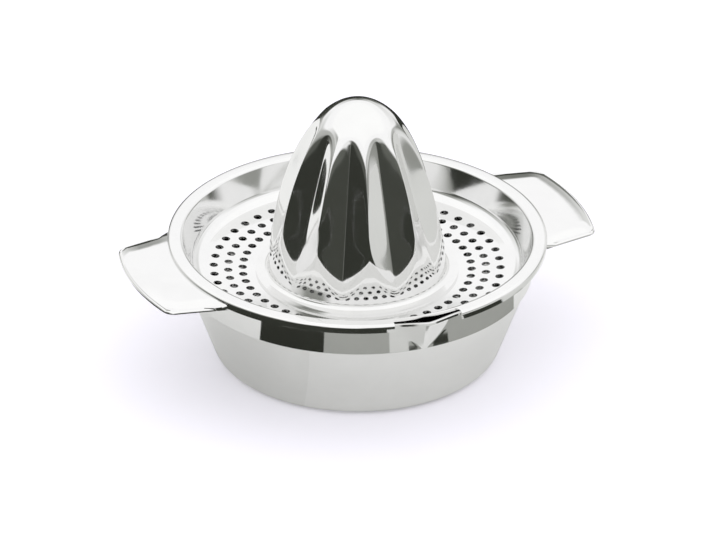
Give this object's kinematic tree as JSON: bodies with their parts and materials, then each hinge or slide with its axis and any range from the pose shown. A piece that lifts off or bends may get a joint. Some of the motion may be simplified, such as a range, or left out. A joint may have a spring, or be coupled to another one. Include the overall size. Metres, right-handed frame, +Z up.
{
  "type": "hand citrus juicer",
  "caption": "Pressed steel hand citrus juicer: spouted bowl, lift-off perforated strainer with flat tab handles, and a tall fluted reamer cone.",
  "frame": {"origin": "middle of the bowl's flat base, on the table", "axes": "+Z up; the two handles point along +X and -X; the spout and the strainer's notch face -Y"},
  "size_m": [0.166, 0.1325, 0.0962],
  "materials": {
    "bowl_steel": "mirror-polished stainless steel",
    "strainer_steel": "mirror-polished stainless steel",
    "cone_steel": "mirror-polished stainless steel",
    "weld_steel": "matt resistance-weld spots"
  },
  "bodies": {
    "bowl": {"bowl": "bowl_steel"},
    "strainer": {"strainer": "strainer_steel", "reamer_cone": "cone_steel", "cone_welds": "weld_steel"}
  },
  "joints": [
    {"name": "strainer_lift", "type": "slide", "parent": "bowl", "child": "strainer", "axis": [0, 0, 1], "range_m": [0, 0.06]}
  ]
}
